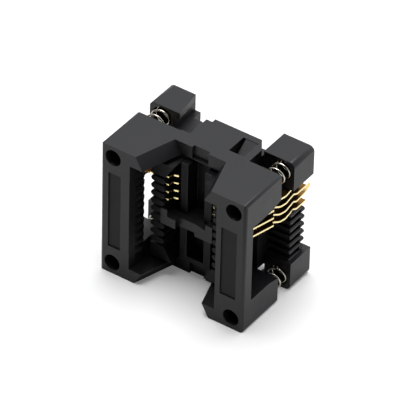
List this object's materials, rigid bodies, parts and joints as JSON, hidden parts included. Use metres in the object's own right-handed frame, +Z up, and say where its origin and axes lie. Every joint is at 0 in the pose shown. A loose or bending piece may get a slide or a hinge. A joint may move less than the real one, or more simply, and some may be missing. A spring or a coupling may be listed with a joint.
{
  "type": "chip test socket",
  "caption": "Open-top adapter socket for small-outline chips: a sprung square cover slides on a base and opens two facing rows of gold jaw contacts over a chip seat",
  "frame": {"origin": "on the resting face, under the middle of the overall width and depth", "axes": "+X across the two contact rows, +Y from the cover's face to the solder tails, +Z up along the rows (the part lies on its long side)"},
  "size_m": [0.0232, 0.017, 0.0215],
  "materials": {
    "black_plastic": "moulded dark grey-black glass-filled plastic, fine matt skin",
    "contact_gold": "stamped copper alloy with a thin gold plating",
    "spring_wire": "drawn stainless spring wire"
  },
  "bodies": {
    "base": {"base_housing": "black_plastic", "contact_guide": "black_plastic", "nest": "black_plastic", "stop_block": "black_plastic", "spring_upper_left": "spring_wire", "spring_upper_right": "spring_wire", "spring_lower_left": "spring_wire", "spring_lower_right": "spring_wire"},
    "cover": {"cover": "black_plastic"},
    "jaws_left": {"contact_left_1": "contact_gold", "contact_left_2": "contact_gold", "contact_left_3": "contact_gold", "contact_left_4": "contact_gold"},
    "jaws_right": {"contact_right_1": "contact_gold", "contact_right_2": "contact_gold", "contact_right_3": "contact_gold", "contact_right_4": "contact_gold"}
  },
  "joints": [
    {"name": "cover_press", "type": "slide", "parent": "base", "child": "cover", "axis": [0, 1, 0], "range_m": [0, 0.0022], "stiffness_N_per_m": 2000, "springref_m": -0.001, "deforming": ["spring_upper_left", "spring_upper_right", "spring_lower_left", "spring_lower_right"]},
    {"name": "jaws_left_open", "type": "hinge", "parent": "base", "child": "jaws_left", "pos_m": [-0.01022, 0.0039, 0.01456], "axis": [0, 0, -1], "range_deg": [0, 6]},
    {"name": "jaws_right_open", "type": "hinge", "parent": "base", "child": "jaws_right", "pos_m": [0.01022, 0.0039, 0.01456], "axis": [0, 0, 1], "range_deg": [0, 6]}
  ],
  "couplings": [
    {"joint": "jaws_left_open", "follows": "cover_press", "rad_per_m": 47.5},
    {"joint": "jaws_right_open", "follows": "cover_press", "rad_per_m": 47.5}
  ]
}
